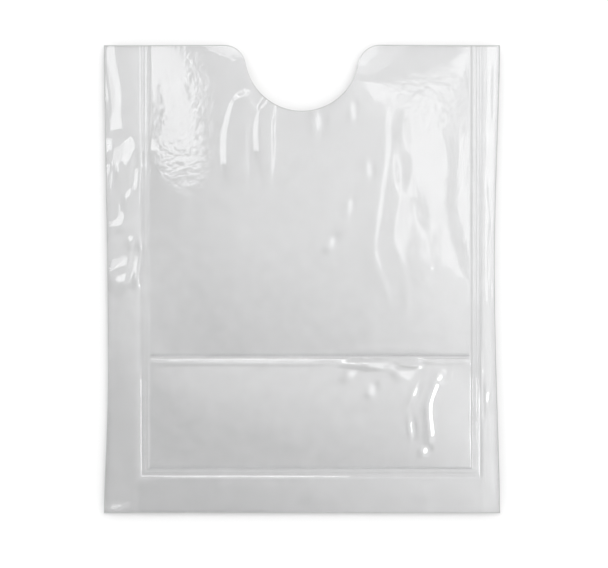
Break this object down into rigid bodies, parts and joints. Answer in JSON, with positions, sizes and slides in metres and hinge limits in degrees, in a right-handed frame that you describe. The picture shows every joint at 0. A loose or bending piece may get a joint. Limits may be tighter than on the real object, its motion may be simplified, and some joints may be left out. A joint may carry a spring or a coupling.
{
  "type": "adhesive document pocket",
  "caption": "Clear soft-vinyl pocket with a thumb notch at its open mouth, welded seams and a self-adhesive back on a paper liner.",
  "frame": {"origin": "middle of the liner's underside, which lies on the ground", "axes": "+X to the pocket's right seen from its front, +Y to its open mouth with the thumb notch, +Z out of its front face"},
  "size_m": [0.127, 0.15, 0.0029],
  "materials": {
    "front_vinyl": "gloss",
    "back_vinyl": "gloss",
    "adhesive": "matte",
    "liner_paper": "satin"
  },
  "bodies": {
    "root": {"front_film": "front_vinyl", "back_film": "back_vinyl", "adhesive_layer": "adhesive", "liner_peel_strip": "liner_paper", "liner_main": "liner_paper"}
  },
  "joints": []
}
